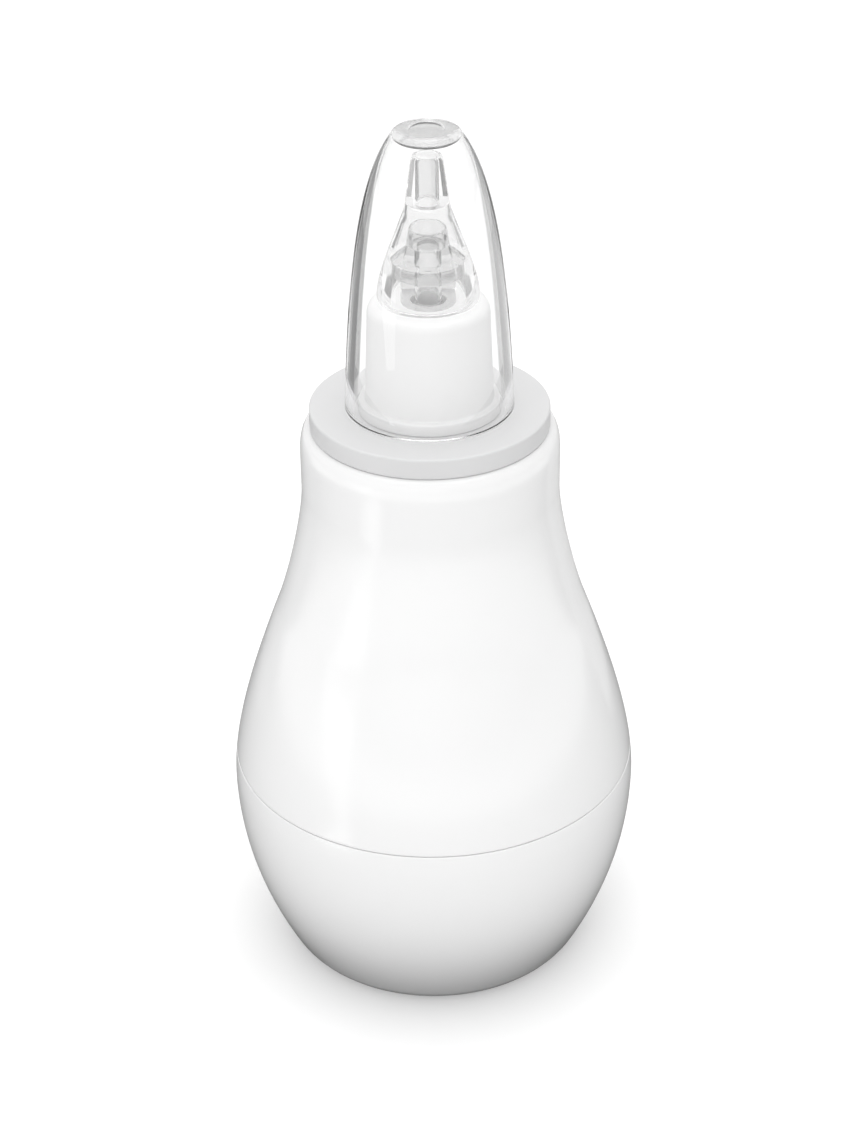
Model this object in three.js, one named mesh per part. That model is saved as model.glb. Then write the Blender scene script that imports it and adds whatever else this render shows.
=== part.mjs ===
// A baby's nasal aspirator: a soft squeeze bulb that stands on its foot, a collar with a hard cone
// plugged into its mouth, a clear stem with a soft silicone tip over it, and a clear cap.
// Millimetres, +Z up. The origin is the centre of the foot, on the surface that the bulb stands on.
import * as THREE from 'three';

// ---- Driving dimensions ------------------------------------------------------------------

const GAP = 0.3;                // between two pieces that touch
const SIDES = 40;               // of every round piece

const BULB_RADIUS = 25;         // at its widest
const WIDEST_Z = 23.8;
const SEAM_Z = 27;              // the bond line between the bulb's two moulded halves
const FOOT_RADIUS = 17;
const FOOT_EDGE = 1.5;          // height of the rounding between the foot and the side
const BULB_WALL = 2.2;
const WAIST_RADIUS = 18.9;      // where the shoulder's curve turns into the neck's
const WAIST_Z = 47.2;
const WAIST_SLOPE = 0.375;      // radius lost for each millimetre of height there
const NECK_RADIUS = 15.3;
const NECK_Z = 64;              // the neck is straight from here up to its lip
const LIP_Z = 68.5;             // the lip's rounding starts here
const MOUTH_Z = 71.6;
const LIP_TOP_RADIUS = 13.9;

const DISC_RADIUS = 14.1;       // the collar's visible disc
const DISC_THICKNESS = 2.5;
const DISC_EDGE = 0.3;
const PLUG_LENGTH = 9.4;        // the collar's plug, down inside the bulb's mouth
const PLUG_WALL = 1.8;
const PLUG_RIB = 0.5;           // how far each holding rib stands out of the plug
const PLUG_RIBS = 3;
const SPIGOT_RADIUS = 5.8;      // the collar's spigot, up inside the holder
const SPIGOT_HEIGHT = 5.8;

const BOSS_RADIUS = 8.25;       // the holder's low foot, which centres the cap
const BOSS_HEIGHT = 1.2;
const HOLDER_FOOT_RADIUS = 7.5;
const HOLDER_TOP_RADIUS = 7.05;
const HOLDER_HEIGHT = 13;       // boss included
const HOLDER_SHOULDER = 1;      // radius of the rounding at its top
const HOLDER_ROOF = 3.4;        // thickness of its top wall

const ROOF_NECK_RADIUS = 2.2;   // the stem, where it passes through the holder's roof
const NECK_ROD_RADIUS = 3.3;    // its rod, whose shoulder sits on the holder
const STEM_FLANGE_RADIUS = 5.7;
const STEM_FLANGE_THICKNESS = 1.8;
const DIP_TUBE_RADIUS = 2.4;    // the stem's tube down into the bulb, which keeps fluid in the bulb
const DIP_TUBE_END_Z = 57;
const STEM_BORE = 1.3;
const BEAD_RADIUS = 4.15;       // the bead that the tip's socket fits over
const BEAD_BOTTOM_Z = 91;
const BEAD_TOP_Z = 92.9;
const BEAD_EDGE = 0.3;
const SPOUT_FOOT_RADIUS = 2.7;  // the stem's tapered spout, up from the bead
const SPOUT_TOP_RADIUS = 2;
const SPOUT_BORE = 1.6;         // down to the step, where the stem's own bore starts
const SPOUT_STEP_Z = 94.2;
const SPOUT_TOP_Z = 96.4;       // well below the tip's ledge, so that the two never touch

const SEAL_THICKNESS = 1.4;
const SEAL_RADIUS = 5.6;

const TIP_FOOT_RADIUS = 5.92;
const TIP_TOP_Z = 105;
const TIP_TOP_RADIUS = 1.78;
const TIP_TOP_EDGE = 0.5;       // rounding of the end that goes into the nostril
const TIP_STEP_Z = 98.8;        // the slim end turns into the flare here
const TIP_STEP_RADIUS = 2.66;
const TIP_BORE = 1.15;          // the slim end's bore
const TIP_LEDGE_RADIUS = 2.2;   // where the bore ends, above the spout
const TIP_LEDGE_Z = 99.4;
const TIP_BELL_TOP = [2.5, 97.6];  // radius and height: from here the inside widens with the flare
const TIP_BELL_FOOT = [3.8, 94];
const TIP_SOCKET_TOP_Z = 93.2;
const TIP_SOCKET_PLAY = 0.3;    // between the bead and the socket's side

const CAP_RADIUS = 9.9;
const CAP_WALL = 1.3;
const CAP_TOP_Z = 108.2;
const CAP_TOP_RADIUS = 3.6;     // the flat top
const CAP_CEILING_RADIUS = 3.7;
const CAP_ROOF = 1.4;
const CAP_LOWER_DRAFT = 0.8;    // how far in the side has leaned by the height of the next line
const CAP_LOWER_HEIGHT = 15.3;
const CAP_SHOULDER_DRAFT = 1.7; // and where its shoulder starts
const CAP_OUTER_RISE = 5.9;     // the height of the shoulder's turn, outside and inside
const CAP_INNER_RISE = 5.3;

// ---- Heights and radii that follow from them ---------------------------------------------

const DISC_BOTTOM_Z = MOUTH_Z + GAP;
const DISC_TOP_Z = DISC_BOTTOM_Z + DISC_THICKNESS;
const MOUTH_RADIUS = NECK_RADIUS - BULB_WALL;
const SPIGOT_TOP_Z = DISC_TOP_Z + SPIGOT_HEIGHT;
const HOLDER_BOTTOM_Z = DISC_TOP_Z + GAP;
const HOLDER_TOP_Z = HOLDER_BOTTOM_Z + HOLDER_HEIGHT;
const HOLDER_CEILING_Z = HOLDER_TOP_Z - HOLDER_ROOF;
const STEM_FLANGE_TOP_Z = HOLDER_CEILING_Z - GAP;
const STEM_FLANGE_BOTTOM_Z = STEM_FLANGE_TOP_Z - STEM_FLANGE_THICKNESS;
const SEAL_BOTTOM_Z = SPIGOT_TOP_Z + GAP;
const TIP_BOTTOM_Z = HOLDER_TOP_Z + GAP;
const CAP_BOTTOM_Z = DISC_TOP_Z + GAP;

// ---- Curves and small helpers; a point is (radius, height) ----------------------------------

function at(radius, height) {
  return new THREE.Vector2(radius, height);
}

const BOWL = new THREE.QuadraticBezierCurve(
  at(FOOT_RADIUS + FOOT_EDGE, 0),
  at(BULB_RADIUS, WIDEST_Z / 2),
  at(BULB_RADIUS, WIDEST_Z),
);
const SHOULDER = new THREE.CubicBezierCurve(
  at(BULB_RADIUS, WIDEST_Z),
  at(BULB_RADIUS, WIDEST_Z + 6.5),
  at(WAIST_RADIUS + 6.5 * WAIST_SLOPE, WAIST_Z - 6.5),
  at(WAIST_RADIUS, WAIST_Z),
);
const NECK = new THREE.CubicBezierCurve(
  at(WAIST_RADIUS, WAIST_Z),
  at(WAIST_RADIUS - 4 * WAIST_SLOPE, WAIST_Z + 4),
  at(NECK_RADIUS, NECK_Z - 4),
  at(NECK_RADIUS, NECK_Z),
);

// The radius at a height on a curve whose height only rises
function radiusOn(curve, height) {
  let low = 0;
  let high = 1;
  for (let halving = 0; halving < 40; halving += 1) {
    const middle = (low + high) / 2;
    if (curve.getPoint(middle).y < height) {
      low = middle;
    } else {
      high = middle;
    }
  }
  return curve.getPoint(low).x;
}

function bulbRadius(height) {
  if (height < WIDEST_Z) return radiusOn(BOWL, height);
  if (height < WAIST_Z) return radiusOn(SHOULDER, height);
  if (height < NECK_Z) return radiusOn(NECK, height);
  return NECK_RADIUS;
}

// Points on the bulb's outside, or inset by the wall, at evenly spaced heights
function bulbSide(from, to, steps, inset = 0) {
  const points = [];
  for (let step = 0; step <= steps; step += 1) {
    const height = from + (to - from) * step / steps;
    points.push(at(bulbRadius(height) - inset, height));
  }
  return points;
}

// A solid of revolution from its outline. The outline runs up the outside; one that doesn't
// start on the axis is closed here on its first point.
function turned(name, outline, material) {
  const points = outline[0].x === 0 ? outline : [...outline, outline[0].clone()];
  const geometry = new THREE.LatheGeometry(points, SIDES);
  geometry.rotateX(Math.PI / 2);
  const mesh = new THREE.Mesh(geometry, material);
  mesh.name = name;
  return mesh;
}

// ---- Materials ----------------------------------------------------------------------------

const softWhite = new THREE.MeshStandardMaterial({ color: 0xf4f4f4, roughness: 0.35, metalness: 0 });
const lightGrey = new THREE.MeshStandardMaterial({ color: 0xdedede, roughness: 0.4, metalness: 0 });
const glossWhite = new THREE.MeshStandardMaterial({ color: 0xf2f2f2, roughness: 0.2, metalness: 0 });
const sealGrey = new THREE.MeshStandardMaterial({ color: 0xc8c8c8, roughness: 0.6, metalness: 0 });

function clear(opacity, roughness) {
  return new THREE.MeshStandardMaterial({
    color: 0xe8ecee, roughness, metalness: 0, transparent: true, opacity,
  });
}

// ---- The pieces -----------------------------------------------------------------------------

function bulbBase() {
  const rim = SEAM_Z - GAP / 2;
  return turned('bulb_base', [
    at(0, 0),
    at(FOOT_RADIUS, 0),
    at(FOOT_RADIUS + FOOT_EDGE * 0.75, FOOT_EDGE * 0.25),
    ...bulbSide(FOOT_EDGE, rim, 7),
    ...bulbSide(BULB_WALL + FOOT_EDGE, rim, 5, BULB_WALL).reverse(),
    at(FOOT_RADIUS - 1, BULB_WALL),
    at(0, BULB_WALL),
  ], softWhite);
}

function bulbBody() {
  const rim = SEAM_Z + GAP / 2;
  const lip = new THREE.QuadraticBezierCurve(
    at(NECK_RADIUS, LIP_Z),
    at(NECK_RADIUS, MOUTH_Z),
    at(LIP_TOP_RADIUS, MOUTH_Z),
  );
  return turned('bulb_body', [
    ...bulbSide(rim, NECK_Z, 11),
    ...lip.getPoints(3),
    at(MOUTH_RADIUS, MOUTH_Z),
    ...bulbSide(rim, NECK_Z, 8, BULB_WALL).reverse(),
  ], softWhite);
}

function collar() {
  const bore = DIP_TUBE_RADIUS + 0.5;
  const plugOutside = MOUTH_RADIUS - GAP;
  const plugBottom = DISC_BOTTOM_Z - PLUG_LENGTH;
  const ribPitch = (PLUG_LENGTH - 2) / PLUG_RIBS;
  const ribs = [];
  for (let rib = 0; rib < PLUG_RIBS; rib += 1) {
    const foot = plugBottom + 0.4 + rib * ribPitch;
    ribs.push(at(plugOutside - PLUG_RIB, foot));
    ribs.push(at(plugOutside, foot + ribPitch * 0.6));
    ribs.push(at(plugOutside - PLUG_RIB, foot + ribPitch * 0.75));
  }
  return turned('collar', [
    at(bore, DISC_BOTTOM_Z),
    at(plugOutside - PLUG_RIB - PLUG_WALL, DISC_BOTTOM_Z),
    at(plugOutside - PLUG_RIB - PLUG_WALL, plugBottom),
    at(plugOutside - PLUG_RIB - 0.4, plugBottom),
    ...ribs,
    at(plugOutside - PLUG_RIB, DISC_BOTTOM_Z),
    at(DISC_RADIUS - DISC_EDGE, DISC_BOTTOM_Z),
    at(DISC_RADIUS, DISC_BOTTOM_Z + DISC_EDGE),
    at(DISC_RADIUS, DISC_TOP_Z - DISC_EDGE),
    at(DISC_RADIUS - DISC_EDGE, DISC_TOP_Z),
    at(SPIGOT_RADIUS, DISC_TOP_Z),
    at(SPIGOT_RADIUS, SPIGOT_TOP_Z),
    at(bore, SPIGOT_TOP_Z),
  ], lightGrey);
}

function nozzleHolder() {
  const socket = SPIGOT_RADIUS + GAP;
  const hole = ROOF_NECK_RADIUS + GAP;
  const shoulder = new THREE.QuadraticBezierCurve(
    at(HOLDER_TOP_RADIUS, HOLDER_TOP_Z - HOLDER_SHOULDER),
    at(HOLDER_TOP_RADIUS, HOLDER_TOP_Z),
    at(HOLDER_TOP_RADIUS - HOLDER_SHOULDER, HOLDER_TOP_Z),
  );
  return turned('nozzle_holder', [
    at(socket, HOLDER_BOTTOM_Z),
    at(BOSS_RADIUS, HOLDER_BOTTOM_Z),
    at(BOSS_RADIUS, HOLDER_BOTTOM_Z + BOSS_HEIGHT),
    at(HOLDER_FOOT_RADIUS, HOLDER_BOTTOM_Z + BOSS_HEIGHT),
    ...shoulder.getPoints(3),
    at(hole, HOLDER_TOP_Z),
    at(hole, HOLDER_CEILING_Z),
    at(socket, HOLDER_CEILING_Z),
  ], glossWhite);
}

function nozzleStem() {
  return turned('nozzle_stem', [
    at(STEM_BORE, DIP_TUBE_END_Z),
    at(DIP_TUBE_RADIUS - 0.4, DIP_TUBE_END_Z),
    at(DIP_TUBE_RADIUS, DIP_TUBE_END_Z + 1),
    at(DIP_TUBE_RADIUS, STEM_FLANGE_BOTTOM_Z),
    at(STEM_FLANGE_RADIUS, STEM_FLANGE_BOTTOM_Z),
    at(STEM_FLANGE_RADIUS, STEM_FLANGE_TOP_Z),
    at(ROOF_NECK_RADIUS, STEM_FLANGE_TOP_Z),
    at(ROOF_NECK_RADIUS, TIP_BOTTOM_Z),
    at(NECK_ROD_RADIUS, TIP_BOTTOM_Z),
    at(NECK_ROD_RADIUS, BEAD_BOTTOM_Z - BEAD_EDGE),
    at(BEAD_RADIUS, BEAD_BOTTOM_Z + BEAD_EDGE),
    at(BEAD_RADIUS, BEAD_TOP_Z - BEAD_EDGE),
    at(BEAD_RADIUS - BEAD_EDGE, BEAD_TOP_Z),
    at(SPOUT_FOOT_RADIUS, BEAD_TOP_Z),
    at(SPOUT_TOP_RADIUS, SPOUT_TOP_Z),
    at(SPOUT_BORE, SPOUT_TOP_Z),
    at(SPOUT_BORE, SPOUT_STEP_Z),
    at(STEM_BORE, SPOUT_STEP_Z),
  ], clear(0.5, 0.1));
}

function sealingRing() {
  const inside = DIP_TUBE_RADIUS + GAP;
  const top = SEAL_BOTTOM_Z + SEAL_THICKNESS;
  const edge = 0.4;
  return turned('sealing_ring', [
    at(inside, SEAL_BOTTOM_Z),
    at(SEAL_RADIUS - edge, SEAL_BOTTOM_Z),
    at(SEAL_RADIUS, SEAL_BOTTOM_Z + edge),
    at(SEAL_RADIUS, top - edge),
    at(SEAL_RADIUS - edge, top),
    at(inside, top),
  ], sealGrey);
}

function softTip() {
  const socket = BEAD_RADIUS + TIP_SOCKET_PLAY;
  const flare = new THREE.CubicBezierCurve(
    at(TIP_FOOT_RADIUS, TIP_BOTTOM_Z + 0.5),
    at(TIP_FOOT_RADIUS, TIP_BOTTOM_Z + 3.3),
    at(TIP_STEP_RADIUS + 1.04, TIP_STEP_Z - 3.2),
    at(TIP_STEP_RADIUS, TIP_STEP_Z),
  );
  const nose = new THREE.QuadraticBezierCurve(
    at(TIP_TOP_RADIUS, TIP_TOP_Z - TIP_TOP_EDGE),
    at(TIP_TOP_RADIUS, TIP_TOP_Z),
    at(TIP_TOP_RADIUS - TIP_TOP_EDGE, TIP_TOP_Z),
  );
  return turned('soft_tip', [
    at(socket, TIP_BOTTOM_Z),
    at(TIP_FOOT_RADIUS - 0.3, TIP_BOTTOM_Z),
    ...flare.getPoints(7),
    ...nose.getPoints(2),
    at(TIP_BORE, TIP_TOP_Z),
    at(TIP_BORE, TIP_LEDGE_Z),
    at(TIP_LEDGE_RADIUS, TIP_LEDGE_Z),
    at(...TIP_BELL_TOP),
    at(...TIP_BELL_FOOT),
    at(socket, TIP_SOCKET_TOP_Z),
  ], clear(0.4, 0.3));
}

// The cap's side, outside or inset by its wall, from the rim up to its flat end. The last control
// point is lower than the end by the rise, which sets how tightly the side turns in there.
function capSide(inset, endRadius, endZ, rise) {
  return new THREE.CubicBezierCurve(
    at(CAP_RADIUS - inset, CAP_BOTTOM_Z),
    at(CAP_RADIUS - inset - CAP_LOWER_DRAFT, CAP_BOTTOM_Z + CAP_LOWER_HEIGHT),
    at(CAP_RADIUS - inset - CAP_SHOULDER_DRAFT, endZ - rise),
    at(endRadius, endZ),
  );
}

function protectiveCap() {
  const ceiling = CAP_TOP_Z - CAP_ROOF;
  return turned('protective_cap', [
    at(0, ceiling),
    ...capSide(CAP_WALL, CAP_CEILING_RADIUS, ceiling, CAP_INNER_RISE).getPoints(8).reverse(),
    ...capSide(0, CAP_TOP_RADIUS, CAP_TOP_Z, CAP_OUTER_RISE).getPoints(9),
    at(0, CAP_TOP_Z),
  ], clear(0.3, 0.05));
}

const aspirator = new THREE.Group();
aspirator.add(
  bulbBase(),
  bulbBody(),
  collar(),
  nozzleHolder(),
  nozzleStem(),
  sealingRing(),
  softTip(),
  protectiveCap(),
);

export default aspirator;
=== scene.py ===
import math
from collections import namedtuple

import bmesh
import bpy
from mathutils import Matrix, Vector


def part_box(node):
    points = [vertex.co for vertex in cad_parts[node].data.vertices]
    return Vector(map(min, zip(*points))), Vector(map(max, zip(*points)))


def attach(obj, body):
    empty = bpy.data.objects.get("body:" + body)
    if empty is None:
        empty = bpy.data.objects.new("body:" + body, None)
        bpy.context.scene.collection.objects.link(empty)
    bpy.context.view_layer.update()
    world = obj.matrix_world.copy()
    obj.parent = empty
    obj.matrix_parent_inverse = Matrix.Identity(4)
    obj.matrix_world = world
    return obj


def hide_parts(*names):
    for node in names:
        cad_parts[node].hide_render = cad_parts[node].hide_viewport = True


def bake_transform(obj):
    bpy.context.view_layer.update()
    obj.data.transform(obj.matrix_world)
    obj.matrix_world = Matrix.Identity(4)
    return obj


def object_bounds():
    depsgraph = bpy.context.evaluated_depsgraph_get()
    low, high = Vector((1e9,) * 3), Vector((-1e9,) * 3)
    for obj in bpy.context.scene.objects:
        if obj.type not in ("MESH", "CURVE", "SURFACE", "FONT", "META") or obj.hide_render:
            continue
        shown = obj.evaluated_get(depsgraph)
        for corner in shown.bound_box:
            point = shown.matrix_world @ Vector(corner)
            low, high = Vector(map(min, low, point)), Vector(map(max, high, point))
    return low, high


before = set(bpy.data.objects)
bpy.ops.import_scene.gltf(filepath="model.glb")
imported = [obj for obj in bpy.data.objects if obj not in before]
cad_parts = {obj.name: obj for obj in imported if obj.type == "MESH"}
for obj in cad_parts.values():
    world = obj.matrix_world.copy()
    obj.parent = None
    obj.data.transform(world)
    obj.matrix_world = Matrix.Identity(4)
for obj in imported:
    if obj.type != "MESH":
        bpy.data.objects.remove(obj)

CAD_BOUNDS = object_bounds()
MM = 0.001
HAIRLINE = 0.02 * MM            # between two pieces that touch

# ---- The camera and the studio ---------------------------------------------------------------

CAMERA_BACK = 262.1 * MM        # level distance from the object's axis
CAMERA_HEIGHT = 208.6 * MM
CAMERA_ASIDE = -0.19 * MM
CAMERA_PITCH = 30.98            # degrees below level
CAMERA_ROLL = -0.69
CAMERA_LENS = 79.1              # millimetres, with 36 mm along the picture's long side

FOOT_SHADE = 36 * MM            # the floor within this radius bounces no light
GLOSS_SHADE = 200 * MM          # and within this one it isn't seen in the gloss

# ---- Sizes of the pieces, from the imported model's boxes ----------------------------------------

Extent = namedtuple("Extent", "radius bottom top")


def extent(node):
    low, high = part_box(node)
    return Extent(high.x, low.z, high.z)


BASE = extent("bulb_base")
BODY = extent("bulb_body")
COLLAR = extent("collar")
HOLDER = extent("nozzle_holder")
STEM = extent("nozzle_stem")
SEAL = extent("sealing_ring")
TIP = extent("soft_tip")
CAP = extent("protective_cap")

SEAM_Z = (BASE.top + BODY.bottom) / 2
WIDEST_Z = 23.8 * MM
FOOT_RADIUS = 17 * MM
BULB_WALL = 2.2 * MM
WAIST_RADIUS = 18.9 * MM
WAIST_Z = 47.2 * MM
WAIST_SLOPE = 0.375
NECK_RADIUS = 15.3 * MM
NECK_Z = 64 * MM
LIP_HEIGHT = 3.1 * MM
LIP_TOP_RADIUS = 13.9 * MM
MOUTH_RADIUS = NECK_RADIUS - BULB_WALL

GAP = 0.3 * MM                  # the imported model's clearance between two pieces
DISC_THICKNESS = 2.5 * MM
DISC_TOP = HOLDER.bottom - GAP
DISC_BOTTOM = DISC_TOP - DISC_THICKNESS

# ---- Outlines ------------------------------------------------------------------------------


def curve(*controls, steps=24):
    """Points on the Bezier curve of any number of control points, both ends included."""
    points = []
    degree = len(controls) - 1
    for step in range(steps + 1):
        t = step / steps
        weights = [math.comb(degree, k) * t**k * (1 - t) ** (degree - k) for k in range(degree + 1)]
        radius = sum(w * c[0] for w, c in zip(weights, controls))
        height = sum(w * c[1] for w, c in zip(weights, controls))
        points.append((radius, height))
    return points


def fillet(corner, before, after, size, steps=5):
    """The rounding of a corner: a curve that starts and ends size away from it."""
    ends = []
    for other in (before, after):
        length = math.dist(corner, other)
        reach = min(size, length * 0.48) / length
        ends.append(tuple(c + (o - c) * reach for c, o in zip(corner, other)))
    return curve(ends[0], corner, ends[1], steps=steps)


def outline(*corners):
    """A run of points in which a corner given as (radius, height, rounding) is rounded."""
    plain = [corner[:2] for corner in corners]
    points = []
    for index, corner in enumerate(corners):
        if len(corner) == 2:
            points.append(corner)
        else:
            before = plain[index - 1]
            after = plain[(index + 1) % len(plain)]
            points += fillet(plain[index], before, after, corner[2])
    return points


def turned(name, points, sides=160):
    """A closed solid of revolution. The outline starts and ends on the axis or closes on itself."""
    mesh = bpy.data.meshes.new(name)
    work = bmesh.new()
    rings = []
    for radius, height in points:
        if radius < 1e-9:
            rings.append([work.verts.new((0, 0, height))])
            continue
        angles = [2 * math.pi * side / sides for side in range(sides)]
        around = [(radius * math.cos(a), radius * math.sin(a), height) for a in angles]
        rings.append([work.verts.new(place) for place in around])
    on_axis = len(rings[0]) == 1
    pairs = list(zip(rings, rings[1:]))
    if not on_axis:
        pairs.append((rings[-1], rings[0]))
    for lower, upper in pairs:
        for side in range(sides):
            following = (side + 1) % sides
            corners = [lower[side % len(lower)], lower[following % len(lower)]]
            corners += [upper[following % len(upper)], upper[side % len(upper)]]
            unlike = list(dict.fromkeys(corners))
            if len(unlike) > 2:
                work.faces.new(unlike)
    bmesh.ops.recalc_face_normals(work, faces=work.faces)
    work.to_mesh(mesh)
    work.free()
    mesh.shade_smooth()
    mesh.set_sharp_from_angle(angle=math.radians(38))
    piece = bpy.data.objects.new(name, mesh)
    bpy.context.scene.collection.objects.link(piece)
    normals = piece.modifiers.new("even_normals", "WEIGHTED_NORMAL")
    normals.keep_sharp = True
    return piece


# ---- Materials ------------------------------------------------------------------------------


# Indexes of refraction. The two inner pieces bend the light less than real ones would, so that
# what is inside them can be made out.
STEM_BEND = 1.18
TIP_BEND = 1.2
CAP_BEND = 1.49


def grey(shade):
    return (shade, shade, shade)


class Paint:
    """A node material around one Principled shader, with short calls for what its surface needs."""

    def __init__(self, name, **sockets):
        self.material = bpy.data.materials.new(name)
        self.material.use_nodes = True
        self.tree = self.material.node_tree
        self.shader = self.tree.nodes["Principled BSDF"]
        self.place = self.tree.nodes.new("ShaderNodeTexCoord")
        for socket, value in sockets.items():
            self.shader.inputs[socket.replace("_", " ")].default_value = value

    def noise(self, scale, detail=3, roughness=0.5):
        node = self.tree.nodes.new("ShaderNodeTexNoise")
        node.inputs["Scale"].default_value = scale
        node.inputs["Detail"].default_value = detail
        node.inputs["Roughness"].default_value = roughness
        self.tree.links.new(self.place.outputs["Object"], node.inputs["Vector"])
        return node.outputs["Fac"]

    def between(self, source, low, high, from_low=0.1, from_high=0.9):
        node = self.tree.nodes.new("ShaderNodeMapRange")
        node.inputs["From Min"].default_value = from_low
        node.inputs["From Max"].default_value = from_high
        node.inputs["To Min"].default_value = low
        node.inputs["To Max"].default_value = high
        self.tree.links.new(source, node.inputs["Value"])
        return node.outputs["Result"]

    def colour(self, source, low, high):
        node = self.tree.nodes.new("ShaderNodeMix")
        node.data_type = "RGBA"
        node.inputs["A"].default_value = (*low, 1)
        node.inputs["B"].default_value = (*high, 1)
        self.tree.links.new(self.between(source, 0, 1), node.inputs["Factor"])
        self.tree.links.new(node.outputs["Result"], self.shader.inputs["Base Color"])

    def roughness(self, source, low, high):
        self.tree.links.new(self.between(source, low, high), self.shader.inputs["Roughness"])

    def bump(self, *layers):
        """Each layer is (noise, height in metres)."""
        previous = None
        for source, height in layers:
            node = self.tree.nodes.new("ShaderNodeBump")
            node.inputs["Distance"].default_value = height
            self.tree.links.new(source, node.inputs["Height"])
            if previous:
                self.tree.links.new(previous, node.inputs["Normal"])
            previous = node.outputs["Normal"]
        self.tree.links.new(previous, self.shader.inputs["Normal"])


def soft_white():
    """The bulb: white soft plastic with a satin gloss and the faint orange peel of its mould."""
    paint = Paint("soft_white", IOR=1.5)
    paint.colour(paint.noise(30, 3), grey(0.785), grey(0.80))
    paint.roughness(paint.noise(90, 3), 0.15, 0.2)
    paint.bump((paint.noise(1400, 2), 0.000004), (paint.noise(60, 2), 0.00004))
    return paint.material


def satin_grey():
    """The collar: light grey hard plastic, spark-eroded to an even satin."""
    paint = Paint("satin_grey", IOR=1.49)
    paint.colour(paint.noise(70, 4), (0.60, 0.60, 0.603), (0.63, 0.63, 0.633))
    paint.roughness(paint.noise(260, 3), 0.36, 0.46)
    paint.bump((paint.noise(2600, 3), 0.000008))
    return paint.material


def gloss_white():
    """The cone: white hard plastic with faint level tool marks."""
    paint = Paint("gloss_white", IOR=1.5)
    paint.colour(paint.noise(40, 3), grey(0.72), grey(0.74))
    paint.roughness(paint.noise(160, 3), 0.4, 0.48)
    paint.bump((paint.noise(120, 2), 0.00001))
    return paint.material


def seal_grey():
    """The sealing ring: dull grey rubber."""
    paint = Paint("seal_grey", IOR=1.5)
    paint.colour(paint.noise(200, 4), (0.42, 0.42, 0.43), (0.5, 0.5, 0.51))
    paint.roughness(paint.noise(300, 3), 0.55, 0.7)
    paint.bump((paint.noise(1500, 3), 0.00001))
    return paint.material


def clear_plastic(name, tint, rough, bend):
    """A hard clear piece. The tint takes the place of the wall's own absorption."""
    paint = Paint(name, IOR=bend, Transmission_Weight=1)
    paint.colour(paint.noise(60, 3), grey(tint), grey(tint + 0.015))
    paint.roughness(paint.noise(120, 3), rough, rough + 0.02)
    paint.bump((paint.noise(90, 2), 0.000006))
    return paint.material


def clear_silicone(name, tint, rough):
    """A soft clear piece, a little uneven. The tint takes the place of the wall's own absorption."""
    paint = Paint(name, IOR=TIP_BEND, Transmission_Weight=1)
    paint.colour(paint.noise(90, 3), grey(tint), grey(tint + 0.01))
    paint.roughness(paint.noise(300, 3), rough, rough + 0.05)
    paint.bump((paint.noise(400, 2), 0.000006))
    return paint.material


def second_finish(piece, material, wanted):
    """Gives another material to the faces whose every corner is wanted(radius, height)."""
    piece.data.materials.append(material)
    corners = piece.data.vertices
    for face in piece.data.polygons:
        places = [corners[i].co for i in face.vertices]
        if all(wanted(math.hypot(p.x, p.y), p.z) for p in places):
            face.material_index = len(piece.data.materials) - 1


def finished(piece, material, slot, *nodes):
    piece.data.materials.append(material)
    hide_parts(*nodes)
    return piece


# ---- The bulb ---------------------------------------------------------------------------------


def bulb_outside():
    """The whole bulb's outside from its foot's edge to its lip, as three joined curves."""
    bowl = curve(
        (FOOT_RADIUS + 1.5 * MM, 0),
        (BASE.radius, WIDEST_Z / 2),
        (BASE.radius, WIDEST_Z),
        steps=40,
    )
    reach = 6.5 * MM
    shoulder = curve(
        (BASE.radius, WIDEST_Z),
        (BASE.radius, WIDEST_Z + reach),
        (WAIST_RADIUS + reach * WAIST_SLOPE, WAIST_Z - reach),
        (WAIST_RADIUS, WAIST_Z),
        steps=40,
    )
    reach = 4 * MM
    neck = curve(
        (WAIST_RADIUS, WAIST_Z),
        (WAIST_RADIUS - reach * WAIST_SLOPE, WAIST_Z + reach),
        (NECK_RADIUS, NECK_Z - reach),
        (NECK_RADIUS, NECK_Z),
        steps=28,
    )
    return bowl + shoulder[1:] + neck[1:]


BULB_OUTSIDE = bulb_outside()


def bulb_radius(height):
    """The bulb's outside radius at a height."""
    for (r0, z0), (r1, z1) in zip(BULB_OUTSIDE, BULB_OUTSIDE[1:]):
        if z0 <= height <= z1:
            return r0 + (r1 - r0) * (height - z0) / (z1 - z0)
    return NECK_RADIUS


def bulb_stretch(low, high, inset=0.0):
    """The bulb's outside, or its inside, between two heights."""
    inner = [point for point in BULB_OUTSIDE if low + 0.1 * MM < point[1] < high - 0.1 * MM]
    ends = [(bulb_radius(low), low), *inner, (bulb_radius(high), high)]
    return [(radius - inset, height) for radius, height in ends]


def bulb_base():
    top = SEAM_Z - HAIRLINE
    edge = 0.15 * MM
    foot_z = 1.6 * MM
    foot = curve((FOOT_RADIUS, 0), (FOOT_RADIUS + 1.4 * MM, 0), (bulb_radius(foot_z), foot_z), steps=8)
    below = (bulb_radius(top - MM), top - MM)
    rim = fillet((bulb_radius(top), top), below, (FOOT_RADIUS, top), edge)
    outside = [(0, 0), *foot[:-1], *bulb_stretch(foot_z, top - 2 * edge), *rim]
    inside = bulb_stretch(4 * MM, top, BULB_WALL)[::-1]
    bend = (inside[-1][0] - 0.6 * MM, BULB_WALL)
    floor = curve(inside[-1], bend, (FOOT_RADIUS - 2 * MM, BULB_WALL), steps=6)
    return turned("bulb_lower_half", [*outside, *inside, *floor[1:], (0, BULB_WALL)])


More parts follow.
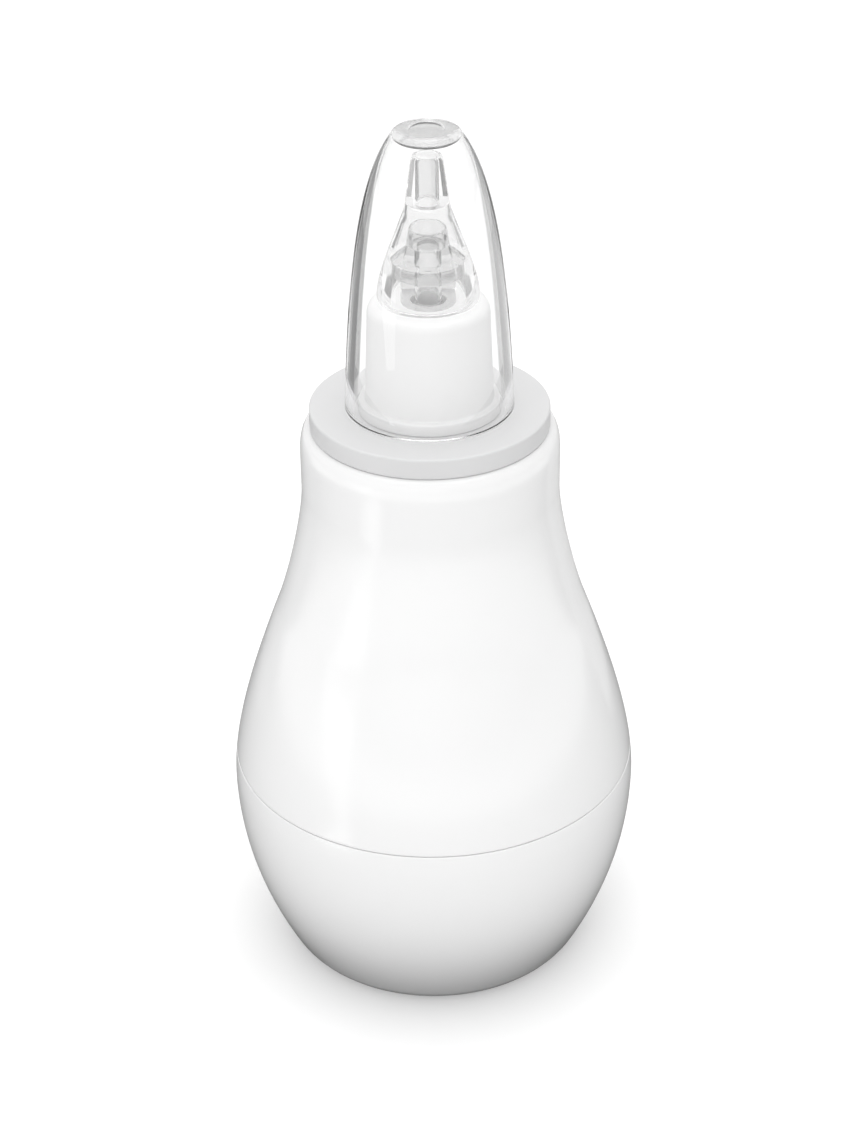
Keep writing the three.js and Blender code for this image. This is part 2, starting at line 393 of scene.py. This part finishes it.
def bulb_body():
    bottom = SEAM_Z + HAIRLINE
    edge = 0.3 * MM
    top = DISC_BOTTOM - HAIRLINE
    lip_z = top - LIP_HEIGHT
    rim = fillet(
        (bulb_radius(bottom), bottom),
        (FOOT_RADIUS, bottom),
        (bulb_radius(bottom + MM), bottom + MM),
        edge,
    )
    lip = curve((NECK_RADIUS, lip_z), (NECK_RADIUS, top), (LIP_TOP_RADIUS, top), steps=14)
    mouth = outline((LIP_TOP_RADIUS, top), (MOUTH_RADIUS, top, 0.3 * MM), (MOUTH_RADIUS, NECK_Z))
    inside = bulb_stretch(bottom, NECK_Z, BULB_WALL)[::-1]
    return turned(
        "bulb_upper_half",
        [*rim, *bulb_stretch(bottom + 2 * edge, NECK_Z), *lip, *mouth[1:-1], *inside],
    )


# ---- Collar, holder, seal ------------------------------------------------------------------------


def collar():
    """The disc, with the hollow ribbed plug under it and the spigot that carries the seal."""
    bore = 2.9 * MM
    spigot = 5.8 * MM
    plug = MOUTH_RADIUS - 0.8 * MM
    hollow = plug - 1.8 * MM
    pitch = (DISC_BOTTOM - COLLAR.bottom - 2 * MM) / 3
    ribs = []
    for rib in range(3):
        foot = COLLAR.bottom + 0.4 * MM + rib * pitch
        ribs.append((plug, foot, 0.1 * MM))
        ribs.append((plug + 0.5 * MM, foot + pitch * 0.6, 0.12 * MM))
        ribs.append((plug, foot + pitch * 0.75, 0.1 * MM))
    return turned("collar_ring", outline(
        (bore, DISC_BOTTOM, 0.2 * MM),
        (hollow, DISC_BOTTOM, 0.4 * MM),
        (hollow, COLLAR.bottom, 0.3 * MM),
        (plug - 0.4 * MM, COLLAR.bottom, 0.3 * MM),
        *ribs,
        (plug, DISC_BOTTOM, 0.1 * MM),
        (COLLAR.radius, DISC_BOTTOM, 0.25 * MM),
        (COLLAR.radius, DISC_TOP, 0.3 * MM),
        (spigot, DISC_TOP, 0.3 * MM),
        (spigot, COLLAR.top, 0.3 * MM),
        (bore, COLLAR.top, 0.2 * MM),
    ))


def nozzle_holder():
    """The hollow cone: a low boss, a drafted wall and a thick roof with the stem's hole."""
    socket = 6.1 * MM
    hole = 1.8 * MM
    foot = 7.5 * MM
    top = 7.05 * MM
    boss_top = HOLDER.bottom + 1.2 * MM
    ceiling = HOLDER.top - 3.4 * MM
    bottom = DISC_TOP + HAIRLINE
    return turned("nozzle_cone", outline(
        (socket, bottom, 0.2 * MM),
        (HOLDER.radius, bottom, 0.15 * MM),
        (HOLDER.radius, boss_top, 0.25 * MM),
        (foot, boss_top, 0.15 * MM),
        (top, HOLDER.top, 1.1 * MM),
        (hole, HOLDER.top, 0.05 * MM),
        (hole, ceiling, 0.1 * MM),
        (socket, ceiling, 0.3 * MM),
    ))


def sealing_ring():
    inside = 2.7 * MM
    return turned("seal_ring", outline(
        (inside, SEAL.bottom, 0.35 * MM),
        (SEAL.radius, SEAL.bottom, 0.55 * MM),
        (SEAL.radius, SEAL.top, 0.55 * MM),
        (inside, SEAL.top, 0.35 * MM),
    ), sides=96)


# ---- Stem, tip and cap ----------------------------------------------------------------------------

BEAD_BOTTOM = 91 * MM
BEAD_TOP = 92.9 * MM
BEAD_RADIUS = 4.2 * MM
STEP_Z = 98.8 * MM              # the tip's slim end turns into its flare here
STEP_RADIUS = 2.66 * MM
LEDGE_Z = 99.4 * MM             # and its narrow bore ends here
SPOUT_TOP_Z = 96.4 * MM


def nozzle_stem():
    """From below: tube, flange, narrow neck through the cone's roof, rod, bead and spout."""
    bore = 1.3 * MM
    tube = 2.4 * MM
    roof_neck = 1.75 * MM
    rod = 3.3 * MM
    shoulder_z = HOLDER.top + HAIRLINE
    spout = 2.75 * MM
    spout_top = 2.15 * MM
    spout_bore = 1.85 * MM
    spout_step = 94.2 * MM
    flange_top = HOLDER.top - 3.7 * MM
    flange_bottom = flange_top - 1.8 * MM
    return turned("stem_insert", outline(
        (bore, STEM.bottom, 0.1 * MM),
        (tube - 0.3 * MM, STEM.bottom, 0.2 * MM),
        (tube, STEM.bottom + MM, 0.3 * MM),
        (tube, flange_bottom, 0.3 * MM),
        (STEM.radius, flange_bottom, 0.25 * MM),
        (STEM.radius, flange_top, 0.25 * MM),
        (roof_neck, flange_top, 0.3 * MM),
        (roof_neck, shoulder_z),
        (rod, shoulder_z, 0.15 * MM),
        (rod, BEAD_BOTTOM - 0.1 * MM, 0.1 * MM),
        (BEAD_RADIUS, BEAD_BOTTOM + 0.1 * MM, 0.25 * MM),
        (BEAD_RADIUS, BEAD_TOP, 0.25 * MM),
        (spout, BEAD_TOP, 0.15 * MM),
        (spout_top, SPOUT_TOP_Z, 0.1 * MM),
        (spout_bore, SPOUT_TOP_Z, 0.1 * MM),
        (spout_bore, spout_step, 0.1 * MM),
        (bore, spout_step, 0.1 * MM),
        (bore, shoulder_z),
        (bore, flange_top),
    ), sides=112)


def soft_tip():
    """The flared nozzle: a narrow bore to the ledge, then a hollow that widens to the socket."""
    socket = BEAD_RADIUS + 0.2 * MM
    socket_top = 93.2 * MM
    nose = 1.78 * MM
    bore = 1.15 * MM
    flare = curve(
        (TIP.radius, TIP.bottom + 0.5 * MM),
        (TIP.radius, TIP.bottom + 3.3 * MM),
        (STEP_RADIUS + 1.04 * MM, STEP_Z - 3.2 * MM),
        (STEP_RADIUS, STEP_Z),
        steps=26,
    )
    end = outline(
        (STEP_RADIUS, STEP_Z),
        (nose, TIP.top, 0.55 * MM),
        (bore, TIP.top, 0.2 * MM),
        (bore, LEDGE_Z, 0.08 * MM),
        (2.2 * MM, LEDGE_Z, 0.1 * MM),
        (2.5 * MM, STEP_Z - 1.2 * MM, 0.5 * MM),
        (3.8 * MM, socket_top + 0.8 * MM, 0.3 * MM),
        (socket, socket_top, 0.2 * MM),
        (socket, TIP.bottom, 0.25 * MM),
        (TIP.radius - 0.15 * MM, TIP.bottom, 0.3 * MM),
        (TIP.radius, TIP.bottom + 0.5 * MM),
    )
    return turned("silicone_tip", [*flare, *end[1:-1]], sides=112)


CEILING_Z = CAP.top - 0.8 * MM  # the underside of the cap's flat end
PAD_Z = CEILING_Z - 0.35 * MM   # and of the satin pad on it
PAD_RADIUS = 3.5 * MM
CAP_FOOT = DISC_TOP + HAIRLINE


def cap_side(radius, top_radius, top, rise):
    """The cap's bullet-shaped side, from just above its foot to its flat end."""
    return curve(
        (radius, CAP_FOOT + 0.5 * MM),
        (radius - 0.8 * MM, CAP_FOOT + 15.3 * MM),
        (radius - 1.7 * MM, top - rise),
        (top_radius, top),
        steps=60,
    )


def protective_cap():
    """The cap: its flat end has a shallow dimple on top and a thin pad underneath."""
    wall = 1.0 * MM
    outside = cap_side(CAP.radius, 3.6 * MM, CAP.top, 5.9 * MM)
    inside = cap_side(CAP.radius - wall, 3.7 * MM, CEILING_Z, 5.3 * MM)[::-1]
    foot = outline(
        inside[-1],
        (CAP.radius - wall, CAP_FOOT, 0.2 * MM),
        (CAP.radius, CAP_FOOT, 0.08 * MM),
        outside[0],
    )
    roof_edge = fillet(outside[-1], outside[-4], (0, CAP.top), 0.8 * MM, steps=8)
    dimple_z = CAP.top - 0.2 * MM
    dimple_side = curve((2.25 * MM, CAP.top), (2 * MM, CAP.top), (1.9 * MM, dimple_z), steps=5)
    dimple = [(2.4 * MM, CAP.top), *dimple_side, (0, dimple_z)]
    pad = [(0, PAD_Z), (PAD_RADIUS, PAD_Z), (PAD_RADIUS, CEILING_Z)]
    corner = fillet(inside[0], (0, CEILING_Z), inside[3], 0.15 * MM)
    return turned(
        "clear_cap",
        [*pad, *corner, *inside[1:], *foot[1:-1], *outside[:-4], *roof_edge, *dimple],
        sides=192,
    )


# ---- Assembly ------------------------------------------------------------------------------------


def finished_stem():
    """Clear, with a brighter bore, a darker satin rim on the bead and a white neck in the cone's roof.
    The bore's brighter tint is painted light, the rim's darker tint is painted shade, and the white neck
    is painted light in place of the dark hole in the cone's roof.
    """
    look = clear_plastic("clear_stem", 0.8, 0.07, STEM_BEND)
    stem = finished(nozzle_stem(), look, "stem_clear_plastic", "nozzle_stem")
    neck_low = HOLDER.top - 3.8 * MM   # just below the flange's top
    neck_high = HOLDER.top + 0.3 * MM  # just above the shoulder on the cone

    def in_bore(radius, height):
        return radius < 1.9 * MM

    def on_bead(radius, height):
        return radius > BEAD_RADIUS - HAIRLINE and height > BEAD_BOTTOM - MM

    def on_neck(radius, height):
        return radius < 2 * MM and neck_low < height < neck_high

    # painted light: the bore gets a paler tint than the rest of the stem, so it looks lit through
    second_finish(stem, clear_plastic("clear_stem_bore_painted_light", 0.97, 0.04, STEM_BEND), in_bore)
    # painted shade: the bead's rim gets a much darker tint than the rest of the stem
    second_finish(stem, clear_plastic("clear_stem_bead_painted_shade", 0.55, 0.15, STEM_BEND), on_bead)
    # painted light: opaque white on the stem's neck in the cone's roof, in place of the dark hole seen
    # through the clear rod
    second_finish(stem, gloss_white(), on_neck)
    return stem


def finished_tip():
    """Clear, with a satin bore whose darker tint is painted shade."""
    look = clear_silicone("clear_silicone", 0.91, 0.04)
    tip = finished(soft_tip(), look, "tip_silicone", "soft_tip")

    def in_bore(radius, height):
        return radius < 1.2 * MM

    # painted shade: the bore gets a darker tint than the rest of the tip
    second_finish(tip, clear_silicone("silicone_bore_painted_shade", 0.74, 0.1), in_bore)
    return tip


def finished_cap():
    """Clear, with a satin pad under its flat end. The pad's dark grey tint is painted shade, and the
    near-black tint around its edge is a painted dark outline.
    """
    look = clear_plastic("clear_cap_plastic", 0.98, 0.0, CAP_BEND)
    cap = finished(protective_cap(), look, "cap_clear_plastic", "protective_cap")

    def on_pad(radius, height):
        return abs(height - PAD_Z) < HAIRLINE

    def on_pad_edge(radius, height):
        return abs(radius - PAD_RADIUS) < HAIRLINE and height > PAD_Z - HAIRLINE

    # painted shade: the pad gets a dark grey tint
    second_finish(cap, clear_plastic("clear_cap_pad_painted_shade", 0.3, 0.2, CAP_BEND), on_pad)
    # painted shade: a near-black tint around the pad's edge, as a dark outline
    second_finish(cap, clear_plastic("clear_cap_pad_edge_painted_shade", 0.06, 0.2, CAP_BEND), on_pad_edge)
    return cap


def build_object():
    white = soft_white()
    lower = finished(bulb_base(), white, "bulb_soft_plastic", "bulb_base")
    upper = finished(bulb_body(), white, "bulb_soft_plastic", "bulb_body")
    for half in (lower, upper):
        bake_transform(half)
    ring = finished(collar(), satin_grey(), "collar_plastic", "collar")
    cone = finished(nozzle_holder(), gloss_white(), "holder_plastic", "nozzle_holder")
    seal = finished(sealing_ring(), seal_grey(), "seal_rubber", "sealing_ring")
    stem = finished_stem()
    for piece in (ring, cone, seal, stem):
        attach(piece, "head")
    tip = finished_tip()
    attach(tip, "tip")
    cap = finished_cap()
    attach(cap, "cap")
    for clear in (stem, tip, cap):
        clear.visible_diffuse = False
        clear.visible_shadow = False


def build_camera():
    """On the object's front side, pitched down to it."""
    data = bpy.data.cameras.new("camera")
    data.lens = CAMERA_LENS
    data.sensor_width = 36
    data.clip_start = 0.01
    camera = bpy.data.objects.new("camera", data)
    bpy.context.scene.collection.objects.link(camera)
    turn = Matrix.Rotation(math.radians(90 - CAMERA_PITCH), 4, "X")
    roll = Matrix.Rotation(math.radians(CAMERA_ROLL), 4, "Z")
    place = Matrix.Translation((CAMERA_ASIDE, -CAMERA_BACK, CAMERA_HEIGHT))
    camera.matrix_world = place @ turn @ roll
    bpy.context.scene.camera = camera


def stage_piece(name, mesh, paint):
    """An object of the studio, which is no part of the aspirator."""
    piece = bpy.data.objects.new(name, mesh)
    bpy.context.scene.collection.objects.link(piece)
    mesh.materials.append(paint.material)
    return piece


def ring_field(low_radius, high_radius, low_angle, high_angle):
    """A flat piece of a ring on the floor. Angles run both ways from straight behind the object."""
    steps = 16
    pitch = (high_angle - low_angle) / steps
    angles = [math.radians(low_angle + pitch * step) for step in range(steps + 1)]
    floor_z = CAD_BOUNDS[0].z
    inner = [(low_radius * math.sin(a), low_radius * math.cos(a), floor_z) for a in angles]
    outer = [(high_radius * math.sin(a), high_radius * math.cos(a), floor_z) for a in angles]
    faces = [(i, i + 1, i + steps + 2, i + steps + 1) for i in range(steps)]
    return inner + outer, faces


def build_floor():
    """Pale paper, in fields, because those near the object are out of sight of gloss or bounces."""
    paint = Paint("floor_paper", Specular_IOR_Level=0, Emission_Strength=0.25)
    paint.shader.inputs["Emission Color"].default_value = (1, 1, 1, 1)
    paint.colour(paint.noise(3, 2), grey(0.735), grey(0.745))
    paint.roughness(paint.noise(30, 2), 0.85, 0.95)
    edges = (0, 20, 62, 118, 180)
    rings = (0, FOOT_SHADE, GLOSS_SHADE, 3.0)
    for inner, outer in zip(rings, rings[1:]):
        for start, end in zip(edges, edges[1:]):
            for side in (-1, 1):
                mesh = bpy.data.meshes.new("floor")
                corners, faces = ring_field(inner, outer, start * side, end * side)
                mesh.from_pydata(corners, [], faces)
                field = stage_piece("floor", mesh, paint)
                field.visible_glossy = inner >= GLOSS_SHADE
                field.visible_diffuse = outer > FOOT_SHADE


def build_dark_cards():
    """Grey cards on the floor behind, seen only through the clear pieces and in the gloss."""
    for side, shade in ((-1, 0.22), (1, 0.42)):
        paint = Paint("grey_card", Specular_IOR_Level=0)
        paint.colour(paint.noise(10, 2), grey(shade), grey(shade + 0.02))
        paint.roughness(paint.noise(30, 2), 0.85, 0.95)
        mesh = bpy.data.meshes.new("grey_card")
        corners, faces = ring_field(0.1, 0.4, 20 * side, 60 * side)
        mesh.from_pydata([(x, y, z + 0.2 * MM) for x, y, z in corners], [], faces)
        card = stage_piece("grey_card", mesh, paint)
        card.visible_camera = False
        card.visible_diffuse = False
        card.visible_shadow = False


def softbox(name, azimuth, elevation, distance, width, height, power):
    """An area light aimed at the middle of the object. Azimuth 0 is the camera's side."""
    data = bpy.data.lights.new(name, "AREA")
    data.shape = "RECTANGLE"
    data.size = width
    data.size_y = height
    data.energy = power
    light = bpy.data.objects.new(name, data)
    light.visible_camera = False
    around = math.radians(azimuth)
    up = math.radians(elevation)
    direction = Vector((math.sin(around) * math.cos(up), -math.cos(around) * math.cos(up), math.sin(up)))
    light.location = (CAD_BOUNDS[0] + CAD_BOUNDS[1]) / 2 + direction * distance
    light.rotation_mode = "QUATERNION"
    light.rotation_quaternion = direction.to_track_quat("Z", "Y")
    bpy.context.scene.collection.objects.link(light)
    return light


def light_paint(name, strength):
    """Black paint that gives off white light."""
    paint = Paint(name, Specular_IOR_Level=0, Emission_Strength=strength)
    paint.shader.inputs["Base Color"].default_value = (0, 0, 0, 1)
    paint.shader.inputs["Emission Color"].default_value = (1, 1, 1, 1)
    return paint


def build_window_cards():
    """Bright cards at the left, seen only in the gloss, where they look like a tall window."""
    paint = light_paint("window_card", 2.3)
    distance = 250 * MM
    panes = (
        ((-76, 50), (-48, 50), (-46, -32), (-50, -32)),
        ((-48, -36), (-45, -36), (-43, -80), (-66, -80)),
    )
    for pane in panes:
        corners = [(math.radians(azimuth), height * MM) for azimuth, height in pane]
        mesh = bpy.data.meshes.new("window_card")
        points = [(distance * math.sin(a), -distance * math.cos(a), z) for a, z in corners]
        mesh.from_pydata(points, [], [(0, 1, 2, 3)])
        card = stage_piece("window_card", mesh, paint)
        card.visible_camera = False
        card.visible_diffuse = False
        card.visible_transmission = False
        card.visible_shadow = False


def build_backdrop():
    """A pale wall far behind the floor, for views from low down. The gloss and the light pass it by."""
    paint = light_paint("backdrop", 1)
    steps = 96
    radius = 2.9
    ring = [(radius * math.sin(2 * math.pi * i / steps), radius * math.cos(2 * math.pi * i / steps))
            for i in range(steps)]
    corners = [(x, y, z) for z in (-0.05, 1.6) for x, y in ring]
    faces = [(i, (i + 1) % steps, steps + (i + 1) % steps, steps + i) for i in range(steps)]
    mesh = bpy.data.meshes.new("backdrop")
    mesh.from_pydata(corners, [], faces)
    wall = stage_piece("backdrop", mesh, paint)
    wall.visible_glossy = False
    wall.visible_diffuse = False
    wall.visible_shadow = False


def build_world():
    """Dim walls and a pale ceiling. Below the horizon it is dark, where only the gloss looks."""
    world = bpy.data.worlds.new("studio")
    world.use_nodes = True
    tree = world.node_tree
    place = tree.nodes.new("ShaderNodeTexCoord")
    split = tree.nodes.new("ShaderNodeSeparateXYZ")
    ramp = tree.nodes.new("ShaderNodeValToRGB")
    ramp.color_ramp.interpolation = "EASE"
    shades = ((0.0, 0.06), (0.05, 0.8), (0.5, 0.76), (0.85, 1.0))
    while len(ramp.color_ramp.elements) < len(shades):
        ramp.color_ramp.elements.new(0.5)
    for element, (height, shade) in zip(ramp.color_ramp.elements, shades):
        element.position = height
        element.color = (shade, shade, shade, 1)
    tree.links.new(place.outputs["Generated"], split.inputs["Vector"])
    tree.links.new(split.outputs["Z"], ramp.inputs["Fac"])
    tree.links.new(ramp.outputs["Color"], tree.nodes["Background"].inputs["Color"])
    bpy.context.scene.world = world


def build_studio():
    build_floor()
    build_dark_cards()
    build_backdrop()
    build_world()
    build_window_cards()
    softbox("top", 180, 82, 0.8, 0.8, 0.8, 3.0)
    front = softbox("front", -10, 20, 0.9, 0.6, 0.5, 1.9)
    front.visible_glossy = False
    view = bpy.context.scene.view_settings
    view.view_transform = "Standard"
    view.look = "None"
    cycles = bpy.context.scene.cycles
    cycles.max_bounces = 24
    cycles.glossy_bounces = 24
    cycles.transmission_bounces = 24


build_object()
build_camera()
build_studio()
